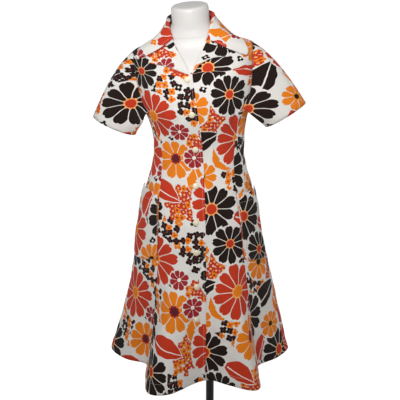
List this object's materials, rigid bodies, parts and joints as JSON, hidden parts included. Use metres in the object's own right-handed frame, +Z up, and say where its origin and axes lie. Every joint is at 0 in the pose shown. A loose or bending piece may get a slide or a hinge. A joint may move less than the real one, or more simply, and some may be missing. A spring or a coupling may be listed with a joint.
{
  "type": "shirt dress on a dress form",
  "caption": "Knee-length short-sleeved shirt dress, button front, pointed collar and lapels, patch pockets and flared skirt, on a limbless dress form with a pole and a round base.",
  "frame": {"origin": "centre of the stand base's underside, on the floor", "axes": "+Z up along the pole; -Y is the front of the dress; +X is the wearer's left"},
  "size_m": [0.5979, 0.5923, 1.4171],
  "materials": {
    "printed_cotton": "plain-woven cotton blend, matt, off-white with an orange, red and dark brown floral print",
    "button_cream": "moulded, polished",
    "form_white": "smooth satin shell",
    "stand_black": "satin black powder coat"
  },
  "bodies": {
    "root": {"back": "printed_cotton", "front_left": "printed_cotton", "front_right": "printed_cotton", "side_front_left": "printed_cotton", "side_front_right": "printed_cotton", "sleeve_left": "printed_cotton", "sleeve_right": "printed_cotton", "collar": "printed_cotton", "lapel_left": "printed_cotton", "lapel_right": "printed_cotton", "pocket_left": "printed_cotton", "pocket_right": "printed_cotton", "button_1": "button_cream", "button_2": "button_cream", "button_3": "button_cream", "button_4": "button_cream", "button_5": "button_cream", "button_6": "button_cream", "button_7": "button_cream", "button_8": "button_cream", "form_torso": "form_white", "form_neck": "form_white", "stand_pole": "stand_black", "stand_base": "stand_black"}
  },
  "joints": []
}
